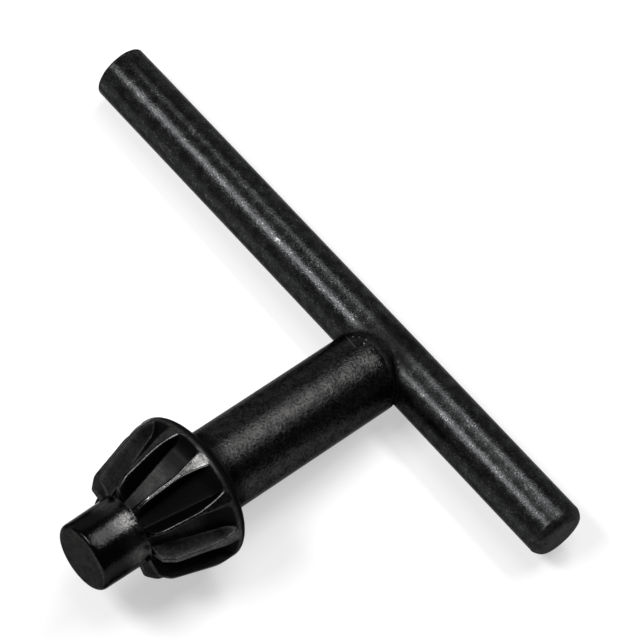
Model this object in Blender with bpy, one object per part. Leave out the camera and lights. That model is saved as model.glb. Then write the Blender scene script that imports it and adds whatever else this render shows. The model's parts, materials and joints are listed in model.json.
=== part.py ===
# Drill chuck key: a toothed pinion on a round stem, welded to the side of a plain round cross handle.
# Blender 4.5, metres, +Z up. The key lies as it comes to rest, with the handle along X: the crown of the
# pinion, the shoulder of the stem and the end of the long arm touch the floor, and the pilot pin points up.

import math

import bmesh
import bpy
from mathutils import Matrix, Vector

MM = 0.001

# Cross handle, along X. The stem stands off its middle, so one arm is longer.
HANDLE_RADIUS = 3.4 * MM
LONG_ARM = 47.8 * MM
SHORT_ARM = 28.2 * MM
HANDLE_CHAMFER = 0.7 * MM

# Distances along the stem are counted from the axis of the handle.
STEM_RADIUS = 4.8 * MM
STEM_END = 1.2 * MM
STEM_END_RADIUS = 3.2 * MM
STEM_SHOULDER = 2.6 * MM
SHOULDER_STEPS = 5
PILOT_RADIUS = 4.0 * MM
PILOT_END = 43.5 * MM
PILOT_CHAMFER = 0.45 * MM
WELD_GAP = 0.3 * MM
INSIDE_BLANK = 1.5 * MM

# Pinion blank: a short front bevel, a cone up to the crown, and a rounded back down to the stem.
GEAR_FRONT = 37.35 * MM
GEAR_FRONT_RADIUS = 5.95 * MM
BEVEL_END = 36.2 * MM
BEVEL_END_RADIUS = 7.0 * MM
CONE_SLOPE = 0.29
CROWN_RADIUS = 8.6 * MM
CROWN_BACK = 28.8 * MM
GEAR_BACK = 27.0 * MM
BACK_STEPS = 5

# Teeth. The gaps are straight scoops that climb towards the crown and run out just before it.
TOOTH_COUNT = 11
FIRST_TOOTH = math.radians(9.3)
LAND_HALF_ANGLE = math.radians(2.4)
LAND_FLARE = math.radians(3.3)
FLARE_START = 32.5 * MM
ROOT_FRONT_RADIUS = 3.85 * MM
ROOT_SLOPE = 0.433
RUNOUT_START = 30.45 * MM
RUNOUT_CURVE = 0.56 / MM
GAP_POWER = 2.5
GAP_POINTS = 7

ROUND_SIDES = 48
MERGE = 0.001 * MM
SHARP_ANGLE = math.radians(32)


def clear_scene():
    for item in list(bpy.data.objects):
        bpy.data.objects.remove(item)


def steel(name, colour, roughness):
    material = bpy.data.materials.new(name)
    material.use_nodes = True
    shader = material.node_tree.nodes["Principled BSDF"]
    shader.inputs["Base Color"].default_value = (*colour, 1.0)
    shader.inputs["Roughness"].default_value = roughness
    shader.inputs["Metallic"].default_value = 0.9
    return material


def stem_point(distance, radius, angle):
    """A point at this distance along the stem, on a circle round it. Angle 0 is the side away from the floor."""
    return Vector((radius * math.sin(angle), -distance, radius * math.cos(angle)))


def finish_object(name, bm, parent, material):
    bmesh.ops.recalc_face_normals(bm, faces=bm.faces)
    mesh = bpy.data.meshes.new(name)
    bm.to_mesh(mesh)
    bm.free()
    mesh.shade_smooth()
    mesh.set_sharp_from_angle(angle=SHARP_ANGLE)
    made = bpy.data.objects.new(name, mesh)
    bpy.context.scene.collection.objects.link(made)
    made.parent = parent
    if material:
        mesh.materials.append(material)
    return made


def as_helper(made):
    made.hide_render = True
    made.display_type = "WIRE"
    return made


def turned(name, profile, parent):
    """A solid turned round the stem's axis from (distance, radius) points that start and end on it."""
    bm = bmesh.new()
    line = [bm.verts.new(stem_point(distance, radius, 0.0)) for distance, radius in profile]
    edges = [bm.edges.new(pair) for pair in zip(line, line[1:])]
    bmesh.ops.spin(
        bm,
        geom=line + edges,
        cent=(0, 0, 0),
        axis=(0, -1, 0),
        angle=2 * math.pi,
        steps=ROUND_SIDES,
    )
    bmesh.ops.remove_doubles(bm, verts=bm.verts, dist=MERGE)
    return as_helper(finish_object(name, bm, parent, None))


def add_boolean(target, other, operation):
    cut = target.modifiers.new(f"{operation.lower()}_{other.name}", "BOOLEAN")
    cut.operation = operation
    cut.object = other


def blank_radius(distance):
    """Outside radius of the pinion blank at this distance from the handle's axis."""
    if distance < CROWN_BACK:
        share = (CROWN_BACK - distance) / (CROWN_BACK - GEAR_BACK)
        return STEM_RADIUS + (CROWN_RADIUS - STEM_RADIUS) * math.sqrt(max(0.0, 1 - share**2))
    if distance > BEVEL_END:
        share = (distance - BEVEL_END) / (GEAR_FRONT - BEVEL_END)
        return BEVEL_END_RADIUS + (GEAR_FRONT_RADIUS - BEVEL_END_RADIUS) * share
    return min(CROWN_RADIUS, BEVEL_END_RADIUS + CONE_SLOPE * (BEVEL_END - distance))


def root_radius(distance):
    """Radius of the floor of a tooth gap, which climbs straight and then curves up out of the blank."""
    straight = ROOT_FRONT_RADIUS + ROOT_SLOPE * (GEAR_FRONT - distance)
    past = max(0.0, RUNOUT_START - distance)
    return straight + RUNOUT_CURVE * past**2


def land_half_angle(distance):
    """Half the angle that the top land of a tooth spans. The land flares towards the crown."""
    flare = max(0.0, FLARE_START - distance) / (FLARE_START - CROWN_BACK)
    return LAND_HALF_ANGLE + LAND_FLARE * flare**1.5


def gear_ring(distance):
    """The outline of the toothed pinion at one distance, as points round the stem."""
    outside = blank_radius(distance)
    root = root_radius(distance)
    land = land_half_angle(distance)
    pitch = 2 * math.pi / TOOTH_COUNT
    gap_half = pitch / 2 - land
    half_width = outside * math.sin(gap_half)
    edge_height = outside * math.cos(gap_half)
    points = []
    for tooth in range(TOOTH_COUNT):
        middle = FIRST_TOOTH + tooth * pitch
        points.append(stem_point(distance, outside, middle - land))
        points.append(stem_point(distance, outside, middle))
        gap_middle = middle + pitch / 2
        for step in range(GAP_POINTS + 1):
            share = 2 * step / (GAP_POINTS + 1) - 1
            across = half_width * share
            scoop = root + max(0.0, edge_height - root) * abs(share) ** GAP_POWER
            height = min(scoop, math.sqrt(outside**2 - across**2))
            radius = math.hypot(across, height)
            points.append(stem_point(distance, radius, gap_middle + math.atan2(across, height)))
    return points


def gear_distances():
    """Where the outlines of the pinion stand: along the front bevel, the cone, the crown and the round back."""
    cone_end = BEVEL_END - (CROWN_RADIUS - BEVEL_END_RADIUS) / CONE_SLOPE
    distances = [GEAR_FRONT]
    for start, end, steps in ((GEAR_FRONT, BEVEL_END, 2), (BEVEL_END, cone_end, 5), (cone_end, CROWN_BACK, 4)):
        distances += [start + (end - start) * step / steps for step in range(1, steps + 1)]
    for step in range(1, BACK_STEPS + 1):
        turn = math.radians(90 * step / BACK_STEPS)
        distances.append(CROWN_BACK - (CROWN_BACK - GEAR_BACK) * math.sin(turn))
    return distances


def shoulder_profile():
    """The rounded end of the stem at the handle, as (distance, radius) points from the stem inwards."""
    points = []
    for step in range(SHOULDER_STEPS + 1):
        turn = math.radians(90 * step / SHOULDER_STEPS)
        distance = STEM_END + STEM_SHOULDER * (1 - math.sin(turn))
        points.append((distance, STEM_END_RADIUS + (STEM_RADIUS - STEM_END_RADIUS) * math.cos(turn)))
    return points


def build_gear(parent, material):
    bm = bmesh.new()
    rings = [[bm.verts.new(point) for point in gear_ring(distance)] for distance in gear_distances()]
    for near, far in zip(rings, rings[1:]):
        for index in range(len(near)):
            after = (index + 1) % len(near)
            bm.faces.new((near[index], near[after], far[after], far[index]))
    bm.faces.new(rings[0])
    bm.faces.new(rings[-1])
    return finish_object("pinion_stem", bm, parent, material)


def build_pinion_stem(parent, material):
    pinion_stem = build_gear(parent, material)
    pilot = turned(
        "pilot_helper",
        [
            (GEAR_FRONT - INSIDE_BLANK, 0.0),
            (GEAR_FRONT - INSIDE_BLANK, PILOT_RADIUS),
            (PILOT_END - PILOT_CHAMFER, PILOT_RADIUS),
            (PILOT_END, PILOT_RADIUS - PILOT_CHAMFER),
            (PILOT_END, 0.0),
        ],
        parent,
    )
    root = GEAR_BACK + INSIDE_BLANK
    stem = turned(
        "stem_helper",
        [(root, 0.0), (root, STEM_RADIUS), *shoulder_profile(), (STEM_END, 0.0)],
        parent,
    )
    handle_room = build_round_bar("handle_room_helper", HANDLE_RADIUS + WELD_GAP, parent, None)
    add_boolean(pinion_stem, pilot, "UNION")
    add_boolean(pinion_stem, stem, "UNION")
    add_boolean(pinion_stem, as_helper(handle_room), "DIFFERENCE")
    return pinion_stem


def build_round_bar(name, radius, parent, material):
    bm = bmesh.new()
    middle = (SHORT_ARM - LONG_ARM) / 2
    place = Matrix.Translation((middle, 0, 0)) @ Matrix.Rotation(math.pi / 2, 4, "Y")
    bmesh.ops.create_cone(
        bm,
        cap_ends=True,
        segments=ROUND_SIDES,
        radius1=radius,
        radius2=radius,
        depth=LONG_ARM + SHORT_ARM,
        matrix=place,
    )
    return finish_object(name, bm, parent, material)


def build_handle(parent, material):
    handle = build_round_bar("cross_handle", HANDLE_RADIUS, parent, material)
    bevel = handle.modifiers.new("end_chamfer", "BEVEL")
    bevel.width = HANDLE_CHAMFER
    bevel.segments = 2
    bevel.limit_method = "ANGLE"
    bevel.angle_limit = math.radians(60)
    return handle


def resting_turns():
    """The slope of the stem, and the turn round it, at which the key lies still on a level floor.

    The floor touches the rounded shoulder of the stem and the crown of the pinion, which sets the slope and
    the height of the handle. The key then rolls over that line until the end of the long arm is down.
    """
    crown = [(distance, blank_radius(distance)) for distance in gear_distances()]
    shoulder = shoulder_profile()

    def steepest_from(near):
        return max((far[1] - near[1]) / (far[0] - near[0]) for far in crown)

    touching = min(shoulder, key=steepest_from)
    slope = steepest_from(touching)
    tilt = math.atan(slope)
    handle_height = (touching[1] - slope * touching[0]) * math.cos(tilt)
    reach = (LONG_ARM - HANDLE_CHAMFER) * math.cos(tilt)
    return tilt, math.asin((handle_height - HANDLE_RADIUS) / reach)


def stand_on_origin(frame, pieces):
    """Moves the frame so that the floor under the middle of the key's box is the origin."""
    bpy.context.view_layer.update()
    graph = bpy.context.evaluated_depsgraph_get()
    corners = []
    for piece in pieces:
        shape = piece.evaluated_get(graph)
        corners += [shape.matrix_world @ vertex.co for vertex in shape.data.vertices]
    low = Vector([min(corner[axis] for corner in corners) for axis in range(3)])
    high = Vector([max(corner[axis] for corner in corners) for axis in range(3)])
    frame.location -= Vector(((low.x + high.x) / 2, (low.y + high.y) / 2, low.z))


def main():
    clear_scene()
    key_frame = bpy.data.objects.new("key_frame", None)
    bpy.context.scene.collection.objects.link(key_frame)
    tilt, roll = resting_turns()
    key_frame.rotation_mode = "YXZ"
    key_frame.rotation_euler = (-tilt, -roll, 0.0)
    handle_steel = steel("blackened_bar_steel", (0.018, 0.018, 0.018), 0.42)
    pinion_steel = steel("blackened_pinion_steel", (0.014, 0.014, 0.014), 0.36)
    handle = build_handle(key_frame, handle_steel)
    pinion_stem = build_pinion_stem(key_frame, pinion_steel)
    stand_on_origin(key_frame, [handle, pinion_stem])


main()
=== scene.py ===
import json
import math

import bpy
from mathutils import Euler, Matrix, Vector, noise


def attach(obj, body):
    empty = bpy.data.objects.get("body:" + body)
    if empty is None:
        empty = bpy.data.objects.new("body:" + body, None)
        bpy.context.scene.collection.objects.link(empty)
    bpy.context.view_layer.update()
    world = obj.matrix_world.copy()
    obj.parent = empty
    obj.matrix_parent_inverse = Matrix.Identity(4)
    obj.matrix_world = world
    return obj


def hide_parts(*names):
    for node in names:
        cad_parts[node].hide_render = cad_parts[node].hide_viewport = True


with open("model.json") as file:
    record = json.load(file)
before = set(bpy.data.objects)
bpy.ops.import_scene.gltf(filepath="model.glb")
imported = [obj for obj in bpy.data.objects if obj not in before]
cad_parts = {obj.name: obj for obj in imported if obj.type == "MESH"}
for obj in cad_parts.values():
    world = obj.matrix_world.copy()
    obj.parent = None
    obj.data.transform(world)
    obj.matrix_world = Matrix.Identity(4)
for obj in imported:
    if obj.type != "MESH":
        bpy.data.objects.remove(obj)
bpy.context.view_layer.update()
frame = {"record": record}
mm = 0.001

# The key's own frame: the bar runs along X, the stem along -Y, and angle 0 round the stem is +Z.
# Sizes below are in millimetres in that frame, and every finished piece is turned into its place at the end.
keyPlace = {
    "tilt": 8.5477,      # degrees that the stem climbs towards the pilot
    "roll": 1.0135,      # degrees that the key leans over on its long arm
    "pilotEnd": 43.5,    # from the bar's axis to the end of the pilot
}
keyTurn = Euler((-math.radians(keyPlace["tilt"]), -math.radians(keyPlace["roll"]), 0.0), "YXZ").to_matrix()
pilotMount = next(mount for mount in frame["record"]["mounts"] if mount["name"] == "pilot_end")
keyOrigin = Vector(pilotMount["pos_m"]) + keyTurn @ Vector((0.0, keyPlace["pilotEnd"] * mm, 0.0))
keyMatrix = Matrix.Translation(keyOrigin) @ keyTurn.to_4x4()


def keyToWorld(point):
    return keyMatrix @ (Vector(point) * mm)


# The camera, where the photograph was taken from.
view = {
    "place": (119.844, -172.116, 310.731),    # mm, in the key's own frame
    "right": (0.64500, 0.75081, 0.14233),
    "back": (0.34023, -0.44892, 0.82627),
    "lens": 191.25,       # mm
    "sensor": 36,
    "nearest": 10,        # nothing closer to the camera is drawn
}


def addCamera():
    back = Vector(view["back"]).normalized()
    right = Vector(view["right"])
    right = (right - right.dot(back) * back).normalized()
    turn = Matrix((right, back.cross(right), back)).transposed()
    bpy.ops.object.camera_add()
    made = bpy.context.object
    made.name = "photoCamera"
    made.matrix_world = Matrix.Translation(keyToWorld(view["place"])) @ (keyTurn @ turn).to_4x4()
    made.data.lens = view["lens"]
    made.data.sensor_width = view["sensor"]
    made.data.clip_start = view["nearest"] * mm
    bpy.context.scene.camera = made


addCamera()
print("camera is set")


# Small helpers for working by hand: what is selected, and how a piece is finished.
mergeDistance = 0.001 * mm
sharpAngle = 50      # degrees; faces that meet at more than this keep a sharp edge


def onlySelect(piece):
    bpy.ops.object.select_all(action="DESELECT")
    piece.select_set(True)
    bpy.context.view_layer.objects.active = piece


def named(name):
    piece = bpy.context.object
    piece.name = name
    piece.data.name = name
    return piece


def selectFaces(piece, wanted):
    # wanted takes a face's centre in millimetres; the piece is left in edit mode
    bpy.ops.object.mode_set(mode="EDIT")
    bpy.ops.mesh.select_mode(type="FACE")
    bpy.ops.mesh.select_all(action="DESELECT")
    bpy.ops.object.mode_set(mode="OBJECT")
    for face in piece.data.polygons:
        face.select = wanted(face.center / mm)
    bpy.ops.object.mode_set(mode="EDIT")


def cleanUp(piece):
    onlySelect(piece)
    bpy.ops.object.mode_set(mode="EDIT")
    bpy.ops.mesh.select_all(action="SELECT")
    bpy.ops.mesh.remove_doubles(threshold=mergeDistance)
    bpy.ops.mesh.normals_make_consistent(inside=False)
    bpy.ops.object.mode_set(mode="OBJECT")
    bpy.ops.object.shade_smooth_by_angle(angle=math.radians(sharpAngle))


def lieDown(piece):
    # from the key's own frame to where the key lies, with the place in the mesh
    onlySelect(piece)
    piece.matrix_world = keyMatrix @ piece.matrix_world
    bpy.ops.object.transform_apply(location=True, rotation=True, scale=True)
    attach(piece, "root")


def roughly(point, size, seed=0.0):
    # a smooth random value from -1 to 1, with lumps of this size in millimetres
    return noise.noise(Vector(point) / size + Vector((seed, seed * 1.7, seed * 0.6)))


def stretch(start, end, steps):
    # the places after start, up to end, in even steps
    return [start + (end - start) * step / steps for step in range(1, steps + 1)]


def asShare(value):
    # a number, kept from 0 to 1
    return min(1.0, max(0.0, value))


def between(a, b, share):
    return (a[0] + (b[0] - a[0]) * share, a[1] + (b[1] - a[1]) * share)


def bend(a, corner, b, share):
    # a point on the curve that leaves a towards the corner and arrives at b
    return between(between(a, corner, share), between(corner, b, share), share)


def softMin(a, b, softness):
    # the smaller of two numbers, with the step between them rounded off
    low = min(a, b)
    return low - softness * math.log(math.exp((low - a) / softness) + math.exp((low - b) / softness))


def turnBlank(name, sides, along, flat, rings):
    # a disc at the first ring, extruded and resized from ring to ring
    # a ring is (place, radius) in millimetres, with its place measured from the origin along the given way
    place, radius = rings[0]
    along = Vector(along)
    bpy.ops.object.select_all(action="DESELECT")
    bpy.ops.mesh.primitive_circle_add(vertices=sides, radius=radius * mm, fill_type="NGON",
                                      location=along * place * mm, rotation=flat)
    piece = named(name)
    bpy.ops.object.transform_apply(location=True, rotation=True, scale=True)
    bpy.ops.object.mode_set(mode="EDIT")
    bpy.ops.mesh.select_all(action="SELECT")
    for nextPlace, nextRadius in rings[1:]:
        bpy.ops.mesh.extrude_region_move(TRANSFORM_OT_translate={"value": along * (nextPlace - place) * mm})
        size = nextRadius / radius
        value = [1.0 if abs(part) > 0.5 else size for part in along]
        bpy.ops.transform.resize(value=value, center_override=along * nextPlace * mm)
        place, radius = nextPlace, nextRadius
    bpy.ops.object.mode_set(mode="OBJECT")
    return piece


# The pinion and its stem, turned as one blank and then milled. Places are distances from the bar's axis.
pinion = {
    "teeth": 11,
    "firstTooth": 9.3,          # degrees
    "pilotRadius": 4.0,
    "pilotRound": 0.6,
    "pilotRings": (42.3, 41.0, 39.8, 38.6, 37.8, 37.42),
    "taperStart": 43,           # from here the pilot thickens a little towards the teeth
    "taper": 0.012,
    "pilotRoot": 0.1,           # how much thicker it is where the teeth begin
    "frontFace": 37.35,         # where the teeth begin
    "frontRadius": 6.0,
    "frontBroken": (0.1, 0.03),     # what is taken off the first two toothed rings
    "bevelEnd": 36.25,
    "bevelRadius": 7.02,
    "coneSlope": 0.29,
    "frontRings": (0.0, 0.03, 0.1),     # how far behind the front face the first toothed rings lie
    "toothedRings": [(35.75, 12), (31.2, 15)],      # (down to this place, in so many rings)
    "crownRings": 22,           # and from there to the crown's back
    "crownRadius": 8.59,
    "crownBack": 28.8,
    "crownLess": 0.02,          # what the rounding still takes off there, as a share of softness
    # painted shade on the crown's rounded back and where the gaps run out into it
    "crownShade": 0.4,
    "back": 27.0,
    "backRings": 9,
    "backTurn": 8.6,            # degrees from ring to ring
    "softness": 0.09,           # how far the corners of the blank are rounded off
    "stemRadius": 4.8,
    "neckCorner": (26.97, 4.89),    # the fillet behind the back bends round this place and radius
    "neckEnd": 26.25,           # and ends here
    "neckStart": 24.5,          # the stem thickens a little from here to that fillet
    "neckRise": 0.07,
    "neckRings": 6,
    "stemRings": 10,
    "stemRingsEnd": 6.2,
    "topMiddle": 0.55,          # where the slot between a top's middle and its edge lies
    "topWander": 0.25,          # degrees that a tooth's top widens and narrows, in lumps of this size
    "topWanderSize": 1.1,
    "flareStart": 32.6,
    "flareAngle": 6.3,          # half of a tooth's top at the crown, in degrees
    "flareCurve": 1.05,
    "rootFront": 4.12,
    "rootSlope": 0.394,
    "rootLeast": 0.12,          # how far above the pilot everything milled stays
    "runoutStart": 30.45,
    "runoutCurve": 0.56,
    "endInsets": (0.12, 0.5),   # on the face of the pilot's end
}

# The gaps between the teeth. Wear and painted shade go from 0 to 1.
gapForm = {
    "floorHalf": 0.6,           # half the width of a gap's floor at the front
    "floorWiden": 0.115,
    "floorLeast": 0.05,         # how far above the pilot the floor stays
    "floorShare": 0.8,          # the floor is at most this share of the opening
    "leastDepth": 0.004,        # a gap that is shallower has run out
    "rootRound": 0.12,
    "rootShare": 0.35,          # the rounding is at most this share of the flank
    "edgeRound": 0.15,
    "edgeShare": 0.3,
    "edgeOfTop": 0.5,           # and at most this share of half the top
    "rubbedDepth": 0.6,         # from this depth on a gap's edges are rubbed fully
    "rubbedFront": 0.3,         # how much of that is left where the teeth begin
    "rubbedReach": 1.5,
    "besideEdge": 0.5,          # shares of the edge's wear, on the top and on the flank
    "underEdge": 0.35,
    "topWear": 0.25,            # the wear of a top's middle, and what it gains on a knife edge
    "knifeWear": 0.25,
    "knifeTop": 2.4,            # half of a top in degrees; below this it begins to be a knife edge,
    "knifeRange": 0.8,          # and this much lower it is one wholly
    "unrubbed": 0.3,            # an edge with less wear than this gets painted shade too
    "edgeShade": 0.8,
    "shadeBack": 32.9,          # the painted shade on the floor deepens from here towards the crown
    "shadeBackLength": 1.7,
    "shadeFront": 35.2,         # and from here towards the pilot
    "shadeFrontLength": 1.6,
}

# Each tooth: half of its top's angle in degrees, how bright its two edges are rubbed, and how dark the
# painted shade is on the flanks and the floor of the gap after it.
teeth = [
    {"top": 1.2, "left": 0.9, "right": 1.0, "flanks": 1.0, "floor": 1.0},
    {"top": 1.4, "left": 0.55, "right": 0.2, "flanks": 0.45, "floor": 0.45},
    {"top": 2.6, "left": 0.4, "right": 0.4, "flanks": 0.9, "floor": 0.9},
    {"top": 2.9, "left": 0.2, "right": 0.3, "flanks": 0.7, "floor": 0.6},
    {"top": 2.8, "left": 0.3, "right": 0.3, "flanks": 0.6, "floor": 0.4},
    {"top": 2.4, "left": 0.4, "right": 0.4, "flanks": 0.8, "floor": 0.7},
    {"top": 2.7, "left": 0.4, "right": 0.3, "flanks": 0.6, "floor": 0.5},
    {"top": 2.9, "left": 0.4, "right": 0.4, "flanks": 0.8, "floor": 0.6},
    {"top": 2.5, "left": 0.3, "right": 0.4, "flanks": 0.7, "floor": 0.5},
    {"top": 2.8, "left": 0.1, "right": 0.1, "flanks": 0.6, "floor": 0.6},
    {"top": 3.0, "left": 0.0, "right": 0.55, "flanks": 0.9, "floor": 0.5},
]
barRadius = 3.4
slotsPerTooth = 26          # twice the steps that gapSide goes through
around = pinion["teeth"] * slotsPerTooth
firstSlot = round(pinion["firstTooth"] / 360 * around)


def blankRadius(distance):
    p = pinion
    if distance <= p["crownBack"]:
        return p["crownRadius"] - p["softness"] * p["crownLess"]
    bevel = p["frontRadius"] + (p["bevelRadius"] - p["frontRadius"]) * (
        (p["frontFace"] - distance) / (p["frontFace"] - p["bevelEnd"]))
    cone = p["bevelRadius"] + p["coneSlope"] * (p["bevelEnd"] - distance)
    return softMin(softMin(bevel, cone, p["softness"]), p["crownRadius"], p["softness"])


def rootRadius(distance):
    p = pinion
    past = max(0.0, p["runoutStart"] - distance)
    return p["rootFront"] + p["rootSlope"] * (p["frontFace"] - distance) + p["runoutCurve"] * past**2


def topHalfAngle(distance, tooth):
    # half of the angle that a tooth's top spans, which flares towards the crown
    p = pinion
    top = teeth[tooth]["top"] + p["topWander"] * roughly((distance, tooth * 5.0, 0.0), p["topWanderSize"])
    flare = asShare((p["flareStart"] - distance) / (p["flareStart"] - p["crownBack"]))
    return math.radians(top + (p["flareAngle"] - top) * flare ** p["flareCurve"])


def gapSide(distance, tooth, rubbed, gap):
    # half of a tooth gap, from a tooth's middle to the gap's: (angle, radius, wear, painted shade) of each
    # slot
    p, g = pinion, gapForm
    outside = blankRadius(distance)
    top = topHalfAngle(distance, tooth)
    halfPitch = math.pi / p["teeth"]
    corner = (outside * math.sin(halfPitch - top), outside * math.cos(halfPitch - top))
    floor = max(rootRadius(distance), p["pilotRadius"] + g["floorLeast"])
    depth = corner[1] - floor
    if depth < g["leastDepth"]:
        # where the gap has run out, painted shade rises towards the gap's middle
        steps = slotsPerTooth // 2
        return [(halfPitch * step / steps, outside, 0.0, p["crownShade"] * step / steps)
                for step in range(steps + 1)]
    floorHalf = g["floorHalf"] + g["floorWiden"] * (p["frontFace"] - distance)
    foot = (min(floorHalf, corner[0] * g["floorShare"]), floor)
    flank = math.dist(foot, corner)
    fillet = min(g["rootRound"], g["rootShare"] * flank)
    edge = min(g["edgeRound"], g["edgeShare"] * flank, g["edgeOfTop"] * top * outside)
    topTurn = halfPitch - top + edge / outside
    topEnd = (outside * math.sin(topTurn), outside * math.cos(topTurn))
    flankTop = between(corner, foot, edge / flank)
    flankFoot = between(foot, corner, fillet / flank)
    floorEnd = (max(0.0, foot[0] - fillet), floor)

    sharp = min(1.0, depth / g["rubbedDepth"])
    sharp *= min(1.0, g["rubbedFront"] + (p["frontFace"] - distance) / g["rubbedReach"])
    sharp *= rubbed
    unrubbed = max(0.0, 1.0 - rubbed / g["unrubbed"])
    # painted shade on the gap's floor, deepening towards the crown and the pilot
    ends = asShare(max((g["shadeBack"] - distance) / g["shadeBackLength"],
                       (distance - g["shadeFront"]) / g["shadeFrontLength"]))
    base = gap["floor"] + (1.0 - gap["floor"]) * ends
    knife = asShare((g["knifeTop"] - math.degrees(top)) / g["knifeRange"])
    middle = (g["topWear"] + g["knifeWear"] * knife) * sharp

    points = [(topEnd, g["besideEdge"] * sharp, g["edgeShade"] * unrubbed)]
    for share in (0.35, 0.65):      # round the edge
        points.append((bend(topEnd, corner, flankTop, share), sharp, max(share / 2, unrubbed)))
    points.append((flankTop, g["underEdge"] * sharp, g["edgeShade"] * gap["flanks"]))
    for share in (0.3, 0.65, 1.0):      # down the flank
        points.append((between(flankTop, flankFoot, share), 0.0, gap["flanks"]))
    for share in (0.33, 0.67):      # round its foot
        points.append((bend(flankFoot, foot, floorEnd, share), 0.0, gap["flanks"]))
    for share in (1.0, 0.6, 0.0):       # and to the floor's middle
        points.append(((floorEnd[0] * share, floor), 0.0, base))
    slots = [(0.0, outside, middle, 0.0), ((top - edge / outside) * p["topMiddle"], outside, middle, 0.0)]
    for (across, height), wear, paintedShade in points:
        height = min(height, math.sqrt(outside**2 - across**2))
        slots.append((halfPitch - math.atan2(across, height), math.hypot(across, height), wear, paintedShade))
    return slots


def toothedRing(distance):
    # (angle, radius, wear, painted shade) of every point round the pinion
    p = pinion
    pitch = 2 * math.pi / p["teeth"]
    ring = []
    for tooth in range(p["teeth"]):
        middle = math.radians(p["firstTooth"]) + tooth * pitch
        after = (tooth + 1) % p["teeth"]
        ring += [(middle + angle, *others)
                 for angle, *others in gapSide(distance, tooth, teeth[tooth]["right"], teeth[tooth])]
        ring += [(middle + pitch - angle, *others)
                 for angle, *others in gapSide(distance, after, teeth[after]["left"], teeth[tooth])[-2:0:-1]]
    return ring


# The seat, where the stem's end is upset onto the bar and welded. It is measured round the stem:
# the shoulder comes in towards the bar, and a small fillet carries it onto the bar's surface.
seat = {
    "start": 5.6,              # where the finely divided part of the stem begins
    "blankStep": 0.09,         # how its rings stand before millAndSeat moves them
    "blankRadius": 4.0,
    "shoulderRings": 40,
    "filletRings": 11,
    "shoulderStart": 3.4,      # the shoulder slopes in from here
    "shoulderSlope": 0.68,
    "rightSlope": 0.3,         # how much steeper it is on the short arm's side
    "leftSlope": -0.1,
    "shoulderSoft": 0.12,
    "fillet": 0.33,
    "filletOnTop": 0.5,        # how much more it is above and below the bar than beside it
    "ragged": 0.35,            # the share by which the fillet's width comes and goes, in lumps of this size
    "raggedSize": 1.3,
    "raggedCircle": 4,
    "skirt": [(0.0, 0.002), (0.2, -0.012), (0.45, -0.09)],      # (past the fillet, above the bar's skin)
    "hidden": (0.4, 1.6),      # the last ring's place and radius, inside the bar
    "lumpsStart": 4.4,
    "lumps": 0.045,
    "lumpSize": 0.6,
    "fineLumps": 0.7,          # how high the fine lumps are beside the others
    "fineLumpSize": 0.27,
    "flashHeight": 0.06,       # the hairline of squeezed-out metal
    "flashWidth": 0.07,
    "flashPlace": 4.05,        # its distance from the bar's axis, and how much more it is above and below
    "flashWave": 0.95,
    "flashTurn": 8,            # degrees
    "flashClear": -31,         # degrees; it is clear within the reach of this, and faint elsewhere
    "flashReach": 26,
    "flashFade": 10,
    "flashFaint": 0.1,
    "flashLevel": 0.8,
    "flashLumps": 0.6,
    "flashLumpSize": 0.35,
    "speckHeight": 0.55,       # as a share of the speck's size
    "specks": [(-33.6, 3.93, 0.15), (-16.7, 3.25, 0.2), (-12.5, 3.85, 0.16), (-27.0, 3.5, 0.12),
               (26.0, 3.1, 0.1), (-52.0, 3.75, 0.1), (4.0, 3.0, 0.1), (150.0, 3.6, 0.13)],
               # (degrees round the stem, distance, size)
    "wear": 0.8,               # of the hairline and the specks
    "shadeRing": 28,            # the ring of the seat from which painted shade sets in, and over how many
    "shadeRings": 10,
    "shadeLeast": 0.5,          # how dark the painted shade is at least; it darkens round to the short arm's side, which lies in shade
    "shadeTurn": 3,
    "shadeShift": -0.4,
}
hiddenRings = len(seat["skirt"])      # the rings past the fillet, under the bar's skin


def shoulderRadius(distance, angle):
    side = math.sin(angle)
    slope = seat["shoulderSlope"] + seat["rightSlope" if side > 0 else "leftSlope"] * side**2
    sloping = pinion["stemRadius"] - slope * (seat["shoulderStart"] - distance)
    return softMin(pinion["stemRadius"], sloping, seat["shoulderSoft"])


def insideBar(distance, radius, angle):
    # above 0 where the point is inside the bar
    return barRadius**2 - distance**2 - (radius * math.cos(angle))**2


def meetingPlace(angle):
    # how far along the stem its shoulder meets the bar
    inner, outer = 0.3, barRadius       # well inside the bar, and outside it
    for _ in range(24):     # each step halves what is between them
        middle = (inner + outer) / 2
        if insideBar(middle, shoulderRadius(middle, angle), angle) > 0:
            inner = middle
        else:
            outer = middle
    return outer


def ontoBar(point, angle, above):
    # the nearest place to (distance, radius) on the bar's surface, in the half plane at this angle
    distance, radius = point
    flat = math.cos(angle)**2
    for _ in range(4):      # each step comes much closer
        slope = (2 * distance, 2 * flat * radius)
        length = slope[0]**2 + slope[1]**2
        miss = distance**2 + flat * radius**2 - (barRadius + above)**2
        distance -= miss * slope[0] / length
        radius -= miss * slope[1] / length
    return distance, radius


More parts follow.
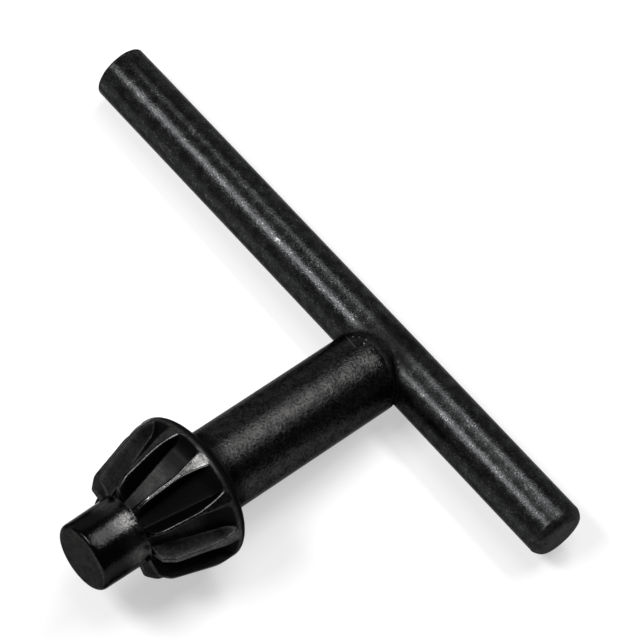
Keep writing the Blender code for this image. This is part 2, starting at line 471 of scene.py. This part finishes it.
def seatPath(angle):
    # (distance, radius) down the shoulder, round the fillet and under the bar's skin
    meet = meetingPlace(angle)
    corner = (meet, shoulderRadius(meet, angle))
    circle = seat["raggedCircle"]
    ragged = roughly((circle * math.cos(angle), circle * math.sin(angle), 0.0), seat["raggedSize"], 3.0)
    onTop = seat["filletOnTop"] * math.cos(angle)**2 * (1 - max(0.0, math.sin(angle)))
    fillet = (seat["fillet"] + onTop) * (1 + seat["ragged"] * ragged)
    start = (meet + fillet, shoulderRadius(meet + fillet, angle))
    along = (-math.cos(angle)**2 * corner[1], corner[0])
    length = math.hypot(*along)
    skirt = []
    for past, above in seat["skirt"]:
        further = (fillet + past) / length
        onSkin = (corner[0] + further * along[0], corner[1] + further * along[1])
        skirt.append(ontoBar(onSkin, angle, above))
    path = []
    for step in range(seat["shoulderRings"]):
        distance = seat["start"] + (start[0] - seat["start"]) * step / (seat["shoulderRings"] - 1)
        path.append((distance, shoulderRadius(distance, angle)))
    for step in range(1, seat["filletRings"] + 1):
        path.append(bend(start, corner, skirt[0], step / seat["filletRings"]))
    return path + skirt[1:] + [seat["hidden"]]


def seatRoughness(distance, radius, angle):
    # what the weld adds to the stem's radius, and the wear of it
    degrees = math.degrees(angle)
    near = asShare(seat["lumpsStart"] - distance)
    place = (radius * math.sin(angle), distance, radius * math.cos(angle))
    lump = roughly(place, seat["lumpSize"], 1.0)
    lump += seat["fineLumps"] * roughly(place, seat["fineLumpSize"], 2.0)
    rise = near * seat["lumps"] * lump
    clear = asShare((seat["flashReach"] - abs(degrees - seat["flashClear"])) / seat["flashFade"])
    clear = seat["flashFaint"] + (1 - seat["flashFaint"]) * clear
    wave = max(0.0, math.cos(2 * angle + math.radians(seat["flashTurn"])))
    flashLine = seat["flashPlace"] + seat["flashWave"] * wave
    line = math.exp(-((distance - flashLine) / seat["flashWidth"])**2)
    line *= clear * (seat["flashLevel"] + seat["flashLumps"] * roughly(place, seat["flashLumpSize"], 4.0))
    rise += seat["flashHeight"] * line
    wear = seat["wear"] * line
    for speckAngle, speckDistance, size in seat["specks"]:
        across = math.radians(degrees - speckAngle) * radius
        speck = math.exp(-(across**2 + (distance - speckDistance)**2) / size**2)
        rise += seat["speckHeight"] * size * speck
        wear += seat["wear"] * speck
    return rise, wear


def pinionRings():
    # (kind, place, radius) of each ring the blank is turned with, from the pilot's end to the bar
    p = pinion
    rings = []
    for turn in [0.0] + stretch(0.0, math.pi / 2, 6):
        rings.append(("round", keyPlace["pilotEnd"] - p["pilotRound"] * (1 - math.cos(turn)),
                      p["pilotRadius"] - p["pilotRound"] * (1 - math.sin(turn))))
    for distance in p["pilotRings"]:
        rings.append(("round", distance, p["pilotRadius"] + p["taper"] * (p["taperStart"] - distance)))
    front = p["frontFace"]
    rings.append(("round", front, p["pilotRadius"] + p["pilotRoot"]))
    toothed = [front - behind for behind in p["frontRings"]]
    for end, count in p["toothedRings"] + [(p["crownBack"], p["crownRings"])]:
        toothed += stretch(toothed[-1], end, count)
    rings += [("toothed", distance, blankRadius(distance)) for distance in toothed]
    for step in range(1, p["backRings"] + 1):       # the rounded back
        turn = math.radians(p["backTurn"] * step)
        rings.append(("crown", p["crownBack"] - (p["crownBack"] - p["back"]) * math.sin(turn),
                      p["stemRadius"] + (p["crownRadius"] - p["stemRadius"]) * math.cos(turn)))
    last = rings[-1][1:]
    neck = (p["neckEnd"], p["stemRadius"] + p["neckRise"])
    for share in stretch(0.0, 1.0, p["neckRings"]):     # and its fillet onto the stem
        rings.append(("crown", *bend(last, p["neckCorner"], neck, share)))
    for distance in stretch(neck[0], p["neckStart"], p["neckRings"]):
        thick = (distance - p["neckStart"]) / (neck[0] - p["neckStart"])
        rings.append(("round", distance, p["stemRadius"] + p["neckRise"] * thick**2))
    for distance in stretch(p["neckStart"], p["stemRingsEnd"], p["stemRings"]):
        rings.append(("round", distance, p["stemRadius"]))
    for step in range(seat["shoulderRings"] + seat["filletRings"] + hiddenRings):
        rings.append(("seat", seat["start"] - seat["blankStep"] * step, seat["blankRadius"]))
    return rings


def millAndSeat(piece, rings):
    # moves the blank's rings to the milled outline of the teeth and to the welded seat
    p = pinion
    step = 2 * math.pi / around
    wearOf = [0.0] * len(piece.data.vertices)
    paintedShadeOf = [0.0] * len(piece.data.vertices)
    outlines = {}
    paths = {}
    kinds = [ring[0] for ring in rings]
    firstToothed, firstSeat = kinds.index("toothed"), kinds.index("seat")
    broken = {firstToothed + ring: less for ring, less in enumerate(p["frontBroken"])}
    for vertex in piece.data.vertices:
        number = vertex.index // around
        kind, distance, radius = rings[number]
        point = round(math.atan2(vertex.co.x, vertex.co.z) / step) % around
        angle, wear, paintedShade = point * step, 0.0, 0.0
        if kind == "toothed":
            if number not in outlines:
                outlines[number] = toothedRing(distance)
            angle, radius, wear, paintedShade = outlines[number][(point - firstSlot) % around]
            radius = max(radius - broken.get(number, 0.0), p["pilotRadius"] + p["rootLeast"])
        elif kind == "crown":
            angle += math.radians(p["firstTooth"]) - firstSlot * step
            # painted shade on the crown's rounded back
            paintedShade = p["crownShade"]
        elif kind == "seat":
            angle -= 2 * math.pi if angle > math.pi else 0.0
            if point not in paths:
                paths[point] = seatPath(angle)
            distance, radius = paths[point][number - firstSeat]
            # painted shade in the crease where the stem meets the bar, darkest on the short arm's shaded
            # side
            shaded = max(seat["shadeLeast"], seat["shadeTurn"] * math.sin(angle) + seat["shadeShift"])
            paintedShade = min(1.0, shaded) * asShare((number - firstSeat - seat["shadeRing"]) / seat["shadeRings"])
            if number < len(rings) - hiddenRings:
                rise, wear = seatRoughness(distance, radius, angle)
                radius += rise
        vertex.co = Vector((radius * math.sin(angle), -distance, radius * math.cos(angle))) * mm
        wearOf[vertex.index] = wear
        paintedShadeOf[vertex.index] = paintedShade
    # wear is rubbed steel; the other layer is painted shade in the gaps, on the crown's back and round the
    # seat
    for layer, values in (("wear", wearOf), ("paintedShade", paintedShadeOf)):
        piece.data.attributes.new(layer, "FLOAT", "POINT").data.foreach_set("value", values)


def makePinion():
    rings = pinionRings()
    piece = turnBlank("milledPinion", around, (0, -1, 0), (math.pi / 2, 0, 0), [ring[1:] for ring in rings])
    millAndSeat(piece, rings)
    onlySelect(piece)
    selectFaces(piece, lambda centre: centre.y < -keyPlace["pilotEnd"] + 0.001)
    for inset in pinion["endInsets"]:
        bpy.ops.mesh.inset(thickness=inset * mm)
    bpy.ops.object.mode_set(mode="OBJECT")
    cleanUp(piece)
    lieDown(piece)
    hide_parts("pinion_stem")
    return piece


milledPinion = makePinion()
print("pinion is milled:", len(milledPinion.data.polygons), "faces")


# The cross bar. One end is chopped off a little askew, the other is turned to a rounded edge.
crossBar = {
    "longArm": 47.8,
    "shortArm": 28.2,
    "sides": 192,
    "bodyRings": 24,
    "bodyStart": -46.8,
    "bodyEnd": 26.95,
    "choppedEdge": 0.28,
    "choppedLess": 0.006,        # how much slimmer the bar is at that edge
    "choppedLumps": 0.03,
    "choppedLumpSize": 0.9,
    "choppedReach": 1.0,         # how far from the end the lumps and the slant go
    "askew": 0.3,                # how much shorter the chopped end is on the side of the stem
    "turnedEnd": [(1.04, 0.0), (1.0, 0.01), (0.7, 0.13), (0.42, 0.29), (0.2, 0.47), (0.07, 0.68),
                  (0.01, 0.92), (0.0, 1.2)],      # (from the tip, off the radius)
    "raggedEdge": 0.07,          # where the turning begins
    "raggedSize": 0.5,
    "raggedReach": 1.1,
    "raggedDepth": 0.05,
    "faceInset": 0.5,
}


def barRings():
    bar = crossBar
    rings = [(-bar["longArm"], barRadius - bar["choppedEdge"] - bar["faceInset"])]
    for turn in [0.0] + stretch(0.0, math.pi / 2, 5):
        rings.append((-bar["longArm"] + bar["choppedEdge"] * (1 - math.cos(turn)),
                      barRadius - bar["choppedLess"] - bar["choppedEdge"] * (1 - math.sin(turn))))
    rings += [(place, barRadius) for place in stretch(bar["bodyStart"], bar["bodyEnd"], bar["bodyRings"])]
    rings += [(bar["shortArm"] - back, barRadius - down) for back, down in bar["turnedEnd"]]
    return rings


def makeBar():
    bar = crossBar
    piece = turnBlank("drawnBar", bar["sides"], (1, 0, 0), (0, math.pi / 2, 0), barRings())
    for vertex in piece.data.vertices:
        place = vertex.co / mm
        off = math.hypot(place.y, place.z)
        if place.x < bar["choppedReach"] - bar["longArm"]:
            vertex.co.x += bar["askew"] * (0.5 - place.y / (2 * barRadius)) * mm
            vertex.co.x += bar["choppedLumps"] * (1 + roughly(place, bar["choppedLumpSize"], 5.0)) * mm
        elif place.x > bar["shortArm"] - bar["raggedReach"] and off > barRadius - bar["raggedDepth"]:
            rim = (0.0, place.y, place.z)
            vertex.co.x += bar["raggedEdge"] * roughly(rim, bar["raggedSize"], 6.0) * mm
    onlySelect(piece)
    selectFaces(piece, lambda centre: centre.x > bar["shortArm"] - 0.001)
    bpy.ops.mesh.inset(thickness=bar["faceInset"] * mm)
    bpy.ops.object.mode_set(mode="OBJECT")
    cleanUp(piece)
    lieDown(piece)
    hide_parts("cross_handle")
    return piece


drawnBar = makeBar()
print("bar is cut:", len(drawnBar.data.polygons), "faces")


# Shader maths: a Value is a socket that Python's operators work on.
class Value:
    def __init__(self, finish, socket):
        self.finish = finish
        self.socket = socket

    def calc(self, how, *others):
        return self.finish.node("ShaderNodeMath", {"operation": how}, self, *others)

    def __add__(self, other):
        return self.calc("ADD", other)

    def __sub__(self, other):
        return self.calc("SUBTRACT", other)

    def __mul__(self, other):
        return self.calc("MULTIPLY", other)

    def __rsub__(self, other):
        return self.finish.node("ShaderNodeMath", {"operation": "SUBTRACT"}, other, self)

    __radd__ = __add__
    __rmul__ = __mul__

    def fade(self, low, high):
        # 0 below low, 1 above high, smooth between them
        return self.finish.node("ShaderNodeMapRange", {"interpolation_type": "SMOOTHSTEP"}, self, low, high)


class Finish:
    def __init__(self, name):
        self.material = bpy.data.materials.new(name)
        self.material.use_nodes = True
        self.tree = self.material.node_tree
        self.shader = self.tree.nodes["Principled BSDF"]

    def plug(self, socket, value):
        if isinstance(value, Value):
            self.tree.links.new(value.socket, socket)
        else:
            socket.default_value = value

    def node(self, kind, settings, *inputs, out=0, **byName):
        made = self.tree.nodes.new(kind)
        for key, setting in settings.items():
            setattr(made, key, setting)
        for index, value in enumerate(inputs):
            self.plug(made.inputs[index], value)
        for key, value in byName.items():
            self.plug(made.inputs[key.replace("_", " ")], value)
        return Value(self, made.outputs[out])

    def whereOnKey(self):
        # the point in the key's own frame, in millimetres
        place = self.node("ShaderNodeTexCoord", {}, out="Object")
        return self.node("ShaderNodeMapping", {"vector_type": "TEXTURE"}, place,
                         Location=keyOrigin, Rotation=keyTurn.to_euler(), Scale=(mm, mm, mm))

    def part(self, vector, axis):
        return self.node("ShaderNodeSeparateXYZ", {}, vector, out=axis)

    def apart(self, vector, point):
        return self.node("ShaderNodeVectorMath", {"operation": "DISTANCE"}, vector, point, out="Value")

    def stretched(self, vector, scale):
        return self.node("ShaderNodeMapping", {}, vector, Scale=scale)

    def grain(self, vector, scale, detail, rough=0.5):
        return self.node("ShaderNodeTexNoise", {}, Vector=vector, Scale=scale, Detail=detail,
                         Roughness=rough)

    def painted(self, name):
        # what a piece's own attribute says
        return self.node("ShaderNodeAttribute", {"attribute_name": name}, out="Fac")

    def mixColour(self, share, low, high):
        mixed = self.node("ShaderNodeMix", {"data_type": "RGBA"}, share, out=2)
        colours = mixed.socket.node.inputs[6:8]
        self.plug(colours[0], low)
        self.plug(colours[1], high)
        return mixed

    def bump(self, height):
        # height in millimetres
        return self.node("ShaderNodeBump", {}, Strength=1.0, Distance=mm, Height=height)

    def put(self, **values):
        for key, value in values.items():
            self.plug(self.shader.inputs[key.replace("_", " ")], value)


def grey(level, warmth=0.0):
    return (level * (1 + warmth), level, level * (1 - warmth), 1.0)


# Where the weld has marked the steel round it: sooty on the bar, paler in patches on the stem.
weldMark = {
    "middle": (0.0, -1.9, 3.0),
    "uneven": 3.0,      # how strongly the patches bend its edge, in mm
    "solid": 0.3,       # the share of its reach that is covered wholly
}


def nearWeld(made, where, cloud, reach):
    # 1 at the weld, fading out over this many millimetres
    off = made.apart(where, weldMark["middle"]) + (cloud - 0.5) * weldMark["uneven"]
    return 1 - off.fade(reach * weldMark["solid"], reach)


# Both steels: colours are levels of grey, a pair says where a fade begins and ends, and what is called rough
# is added to the roughness. Scales are for noise, per millimetre.
barSteel = {
    "dark": 0.016,
    "light": 0.029,
    "cool": -0.02,                      # how far the grey leans to red, so below 0 to blue
    "tone": (0.38, 0.62),               # the noise that goes from dark to light
    "toneGrain": 0.5,                   # the share of fine grain in it
    "cloudScale": 0.9,                  # wide patches
    "grainSize": 0.26,                  # mm
    "grainScale": (1.5, 0.8, 0.8),
    "waveScale": (0.25, 1.25, 1.25),    # long waves along the bar, left by drawing it
    "rubbed": 0.1,                      # fine specks where the blacking is thin
    "rubbedSize": 0.17,
    "rubbedSpecks": (0.57, 0.72),
    "rubbedPatches": (0.4, 0.6),
    "weld": 0.008,                      # the soot where the stem is welded on
    "weldCover": 0.9,
    "weldReach": 5.6,
    "nick": 0.12,                       # bare steel in a nick
    "nickAt": (-17.8, -1.8, 2.87),
    "nickSize": 0.42,
    "nickSolid": 0.3,
    "nickUneven": 0.8,
    "nickGrain": (0.3, 0.6),
    "cut": 0.034,                       # the cut ends, in patches
    "cutPatches": (0.42, 0.66),
    "cutScale": 2.4,
    "longEnd": (-47.5, -47.2),          # where the long arm's cut end begins, and the short arm's
    "shortEnd": (26.9, 27.3),
    "rim": 0.46,                        # how bright the steel turns at a glancing angle
    "roughness": 0.29,
    "roughCloud": 0.1,
    "roughGrain": 0.14,
    "roughWeld": 0.12,
    "roughCut": 0.15,
    "grainDepth": 0.027,                # mm
    "waveDepth": 0.02,
    "cutDepth": 0.06,
}


def finishBar():
    made = Finish("blackenedBarSteel")
    look = barSteel
    where = made.whereOnKey()
    across = made.part(where, "X")
    cloud = made.grain(where, look["cloudScale"], 3.0)
    grain = made.grain(made.stretched(where, look["grainScale"]), 1 / look["grainSize"], 2.0, 0.55)
    wave = made.grain(made.stretched(where, look["waveScale"]), 1.0, 2.0)
    marks = made.grain(where, look["cutScale"], 3.0, 0.6)
    specks = made.grain(where, 1 / look["rubbedSize"], 1.0)
    weld = nearWeld(made, where, cloud, look["weldReach"])
    ends = 1 - across.fade(*look["longEnd"]) * (1 - across.fade(*look["shortEnd"]))

    tone = (cloud * (1 - look["toneGrain"]) + grain * look["toneGrain"]).fade(*look["tone"])
    steel = made.mixColour(tone, grey(look["dark"], look["cool"]), grey(look["light"], look["cool"]))
    rubbed = specks.fade(*look["rubbedSpecks"]) * cloud.fade(*look["rubbedPatches"])
    steel = made.mixColour(rubbed, steel, grey(look["rubbed"], look["cool"] / 2))
    steel = made.mixColour(weld * look["weldCover"], steel, grey(look["weld"]))
    offNick = made.apart(where, look["nickAt"]) + (marks - 0.5) * look["nickUneven"]
    nick = 1 - offNick.fade(look["nickSolid"] * look["nickSize"], look["nickSize"])
    steel = made.mixColour(nick * grain.fade(*look["nickGrain"]), steel, grey(look["nick"]))
    steel = made.mixColour(ends * marks.fade(*look["cutPatches"]), steel, grey(look["cut"], -look["cool"]))

    rough = look["roughness"] + (cloud - 0.5) * look["roughCloud"] + (grain - 0.5) * look["roughGrain"]
    height = grain * look["grainDepth"] + wave * look["waveDepth"] + ends * marks * look["cutDepth"]
    made.put(
        Base_Color=steel,
        Metallic=1.0,
        Specular_Tint=grey(look["rim"]),
        Roughness=rough + weld * look["roughWeld"] + ends * look["roughCut"],
        Normal=made.bump(height),
    )
    return made.material


pinionSteel = {
    "dark": 0.013,
    "light": 0.034,
    "warm": 0.02,
    "tone": (0.38, 0.62),
    "toneGrain": 0.6,
    "cloudScale": 0.9,
    "grainSize": 0.3,
    "turnedFrom": (28.2, 28.9),     # from here to the pilot's end the steel is smoother
    "turnedDark": 0.029,
    "turnedLight": 0.061,
    "bare": 0.36,                   # rubbed edges
    "bareWear": (0.25, 1.0),
    "bareCloud": 0.5,               # what is left of the wear where the patches and the grain are weakest
    "bareGrain": 0.6,
    "bareGrainMore": 0.8,
    "weld": 0.04,                   # paler patches by the weld
    "weldReach": 3.9,
    "shadeAndSootGrey": 0.009,                 # painted shade in the tooth gaps, behind the pinion and in the weld's crease, and soot on the pilot
    "shadeBehindFrom": (24.4, 25.7),
    "shadeBehindUneven": 0.8,
    "pilotFrom": (38.5, 41.0),
    "pilotCover": 0.92,
    "pilotFace": (43.3, 43.48),     # the face of the pilot's end is less sooty
    "pilotFaceLess": 0.45,
    "dullFrom": (0.02, 0.14),       # where the painted-shade attribute marks the piece at all it is also made dull
    "rim": 0.43,
    "roughness": 0.28,
    "turnedRoughness": 0.19,
    "roughGrain": 0.12,
    "roughBare": 0.1,
    "roughDull": 0.3,
    "grainDepth": 0.065,            # mm
    "turnedLess": 0.6,              # shares by which the grain is shallower where it is turned, and dull
    "dullLess": 0.4,
}


def finishPinion():
    made = Finish("blackenedPinionSteel")
    look = pinionSteel
    where = made.whereOnKey()
    distance = made.part(where, "Y") * -1.0
    wear = made.painted("wear")
    paintedShade = made.painted("paintedShade")
    grain = made.grain(where, 1 / look["grainSize"], 2.0, 0.6)
    cloud = made.grain(where, look["cloudScale"], 3.0)
    turned = distance.fade(*look["turnedFrom"])
    dull = paintedShade.fade(*look["dullFrom"])
    worn = wear * (look["bareCloud"] + cloud) * (look["bareGrain"] + grain * look["bareGrainMore"])
    worn = worn.fade(*look["bareWear"])
    # painted shade on the stem just behind the pinion's back
    behind = (distance + (cloud - 0.5) * look["shadeBehindUneven"]).fade(*look["shadeBehindFrom"]) * (1 - turned)
    face = distance.fade(*look["pilotFace"]) * look["pilotFaceLess"]
    pilot = distance.fade(*look["pilotFrom"]) * (look["pilotCover"] - face)
    # painted shade, with real soot on the pilot
    shadeAndSoot = (paintedShade + behind + pilot).calc("MINIMUM", 1.0)

    tone = (cloud * (1 - look["toneGrain"]) + grain * look["toneGrain"]).fade(*look["tone"])
    steel = made.mixColour(tone, grey(look["dark"]), grey(look["light"], look["warm"]))
    smooth = made.mixColour(tone, grey(look["turnedDark"]), grey(look["turnedLight"], look["warm"]))
    steel = made.mixColour(turned, steel, smooth)
    weld = nearWeld(made, where, cloud, look["weldReach"]) * tone
    steel = made.mixColour(weld, steel, grey(look["weld"], look["warm"]))
    steel = made.mixColour(shadeAndSoot, steel, grey(look["shadeAndSootGrey"]))
    steel = made.mixColour(worn, steel, grey(look["bare"]))

    rough = look["roughness"] + (look["turnedRoughness"] - look["roughness"]) * turned
    rough += (grain - 0.5) * look["roughGrain"]
    height = grain * (1 - turned * look["turnedLess"]) * (1 - dull * look["dullLess"])
    made.put(
        Base_Color=steel,
        Metallic=1.0,
        Specular_Tint=grey(look["rim"]),
        Roughness=rough + worn * look["roughBare"] + dull * look["roughDull"],
        Normal=made.bump(height * look["grainDepth"]),
    )
    return made.material


def dress(piece, material):
    piece.data.materials.clear()
    piece.data.materials.append(material)


dress(drawnBar, finishBar())
dress(milledPinion, finishPinion())
print("steel is blackened")


# Floor, lamps and world. Lamps are given by where they stand as seen from the key, in its own frame.
studio = {
    "floorSize": 3.0,       # m
    "floorColour": 0.55,
    "floorRoughness": 0.9,
    "floorGlow": 0.5,       # what the camera and the steel see of the floor beside its lit colour
    "world": 0.09,
    "lamps": {      # half widths and half heights in degrees, as seen from the key
        "overhead": {"towards": (-0.02, 0.365, 0.931), "wide": 20.0, "high": 5.2, "radiance": 11.5},
        "ridge": {"towards": (-0.02, 0.03, 1.0), "wide": 8.0, "high": 11.0, "radiance": 5.5},
        "front": {"towards": (-0.33, -0.52, 0.78), "wide": 13.0, "high": 6.5, "radiance": 20.0},
        "leftFill": {"towards": (-0.82, 0.45, 0.34), "wide": 48.0, "high": 18.0, "radiance": 0.5},
        "frontFill": {"towards": (-0.33, -0.92, 0.2), "wide": 30.0, "high": 12.0, "radiance": 0.35},
    },
    "lampDistance": 0.5,    # m
    "steep": 0.7,           # a lamp that stands higher than this has its width along the bar
}


def makeFloor():
    bpy.ops.object.select_all(action="DESELECT")
    bpy.ops.mesh.primitive_plane_add(size=studio["floorSize"], location=(0, 0, 0))
    floor = named("paleFloor")
    made = Finish("paleFloor")
    seen = made.node("ShaderNodeLightPath", {}, out="Is Camera Ray")
    seen += made.node("ShaderNodeLightPath", {}, out="Is Glossy Ray")
    seen += made.node("ShaderNodeLightPath", {}, out="Is Transmission Ray")
    made.put(
        Base_Color=grey(studio["floorColour"]),
        Roughness=studio["floorRoughness"],
        Specular_IOR_Level=0.0,
        Emission_Color=made.mixColour(seen.calc("MINIMUM", 1.0), grey(0.0), grey(studio["floorGlow"])),
        Emission_Strength=1.0,
    )
    dress(floor, made.material)


def addLamp(name, towards, wide, high, radiance):
    aim = (keyTurn @ Vector(towards)).normalized()
    level = Vector((0.0, 0.0, 1.0)).cross(aim).normalized()
    if aim.z > studio["steep"]:
        level = keyTurn @ Vector((1.0, 0.0, 0.0))
        level = (level - level.dot(aim) * aim).normalized()
    far = studio["lampDistance"]
    bpy.ops.object.light_add(type="AREA", location=aim * far)
    lamp = bpy.context.object
    lamp.name = name
    lamp.rotation_euler = Matrix((level, aim.cross(level), aim)).transposed().to_euler()
    lamp.data.shape = "RECTANGLE"
    lamp.data.size = 2 * far * math.tan(math.radians(wide))
    lamp.data.size_y = 2 * far * math.tan(math.radians(high))
    lamp.data.energy = radiance * math.pi * lamp.data.size * lamp.data.size_y
    lamp.data.color = (1.0, 1.0, 1.0)


def lightWorld():
    world = bpy.data.worlds.new("softWorld")
    bpy.context.scene.world = world
    world.use_nodes = True
    background = world.node_tree.nodes["Background"]
    background.inputs["Color"].default_value = (1.0, 1.0, 1.0, 1.0)
    background.inputs["Strength"].default_value = studio["world"]


makeFloor()
for lampName, lamp in studio["lamps"].items():
    addLamp(lampName, **lamp)
lightWorld()
bpy.context.scene.view_settings.view_transform = "Standard"
print("studio is lit")
